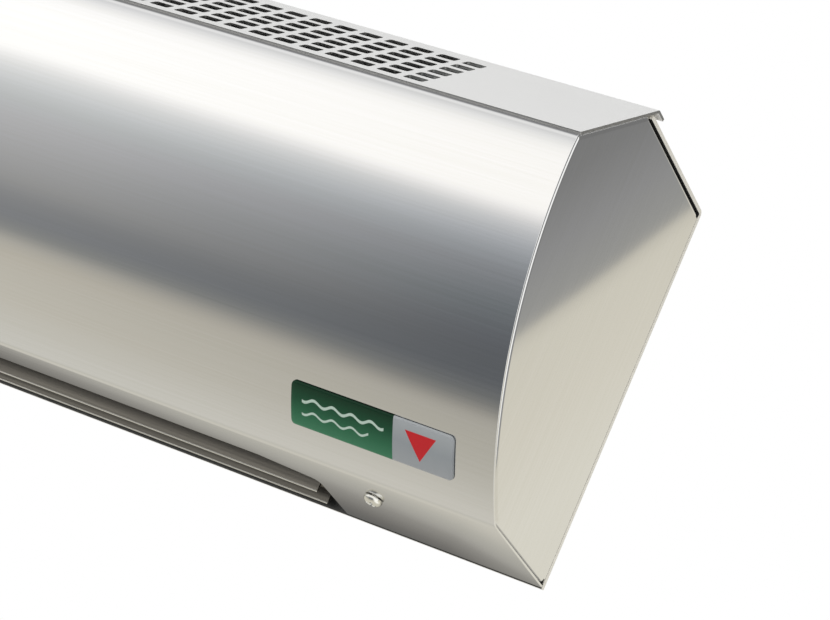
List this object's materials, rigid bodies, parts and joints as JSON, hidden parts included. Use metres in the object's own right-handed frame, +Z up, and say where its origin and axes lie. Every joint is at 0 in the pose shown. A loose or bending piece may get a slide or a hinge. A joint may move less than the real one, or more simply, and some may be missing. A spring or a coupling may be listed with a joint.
{
  "type": "air curtain",
  "caption": "Wall air curtain with a curved stainless front, a slotted intake on top and an outlet slot with vanes underneath, fed by a cross-flow fan past heater rods.",
  "frame": {"origin": "on the rear face of the back plate, at mid length and mid height of the unit", "axes": "+X along the wall to the right end as seen from the room, +Y into the wall, +Z up"},
  "size_m": [0.6, 0.116, 0.18],
  "materials": {
    "stainless": "satin polished sheet",
    "light_paint": "satin powder coat",
    "cream_paint": "satin powder coat",
    "galvanised": "zinc-coated sheet",
    "zinc_plate": "bright zinc plate",
    "dark_steel": "plain rolled steel",
    "motor_casting": "blasted casting",
    "heater_sheath": "heat-darkened steel tube",
    "black_plastic": "moulded",
    "red_plastic": "moulded",
    "white_plastic": "moulded",
    "rubber": "moulded",
    "bronze": "sintered bronze",
    "printed_label": "printed foil under a clear coat",
    "grey_insulation": "cable insulation"
  },
  "bodies": {
    "casing": {"front_cover": "stainless", "end_cap_right": "stainless", "end_cap_left": "stainless", "intake_grille": "light_paint", "back_plate": "cream_paint", "bulkhead_right": "galvanised", "bulkhead_left": "galvanised", "rear_volute": "galvanised", "front_stabiliser": "galvanised", "capacitor_clip": "galvanised", "cover_screw_right": "zinc_plate", "cover_screw_left": "zinc_plate", "end_cap_screw_right_lower": "zinc_plate", "end_cap_screw_right_upper": "zinc_plate", "end_cap_screw_left_lower": "zinc_plate", "end_cap_screw_left_upper": "zinc_plate", "bulkhead_screw_right_lower": "zinc_plate", "bulkhead_screw_right_upper": "zinc_plate", "bulkhead_screw_left_lower": "zinc_plate", "bulkhead_screw_left_upper": "zinc_plate", "motor_screw_1": "zinc_plate", "motor_screw_2": "zinc_plate", "motor_screw_3": "zinc_plate", "heater_link_right": "zinc_plate", "heater_link_left": "zinc_plate", "motor_front_shell": "motor_casting", "motor_rear_shell": "motor_casting", "heater_rod_1": "heater_sheath", "heater_rod_2": "heater_sheath", "heater_rod_3": "heater_sheath", "bearing_holder": "black_plastic", "thermal_cutout": "black_plastic", "switch_housing_fan": "black_plastic", "switch_housing_heat": "black_plastic", "terminal_block": "white_plastic", "capacitor": "white_plastic", "cable_grommet": "rubber", "bearing_bush": "bronze", "badge": "printed_label", "motor_lead": "grey_insulation", "switch_lead_fan": "grey_insulation", "switch_lead_heat": "grey_insulation", "heater_lead": "grey_insulation"},
    "fan_rotor": {"fan_drum": "galvanised", "fan_hub": "rubber", "motor_shaft": "zinc_plate", "fan_stub_shaft": "zinc_plate"},
    "vane_front": {"vane_front": "dark_steel"},
    "vane_rear": {"vane_rear": "dark_steel"},
    "rocker_fan": {"switch_rocker_fan": "black_plastic"},
    "rocker_heat": {"switch_rocker_heat": "red_plastic"}
  },
  "joints": [
    {"name": "fan_spin", "type": "hinge", "parent": "casing", "child": "fan_rotor", "pos_m": [0, -0.058, 0.008], "axis": [1, 0, 0], "continuous": true},
    {"name": "vane_front_tilt", "type": "hinge", "parent": "casing", "child": "vane_front", "pos_m": [0, -0.0165, -0.07944], "axis": [1, 0, 0], "range_deg": [-20, 20]},
    {"name": "vane_rear_tilt", "type": "hinge", "parent": "casing", "child": "vane_rear", "pos_m": [0, -0.0055, -0.08148], "axis": [1, 0, 0], "range_deg": [-20, 20]},
    {"name": "rocker_fan_tip", "type": "hinge", "parent": "casing", "child": "rocker_fan", "pos_m": [-0.255, -0.03078, -0.08307], "axis": [1, 0, 0], "range_deg": [0, 20]},
    {"name": "rocker_heat_tip", "type": "hinge", "parent": "casing", "child": "rocker_heat", "pos_m": [-0.275, -0.03078, -0.08307], "axis": [1, 0, 0], "range_deg": [0, 20]}
  ]
}
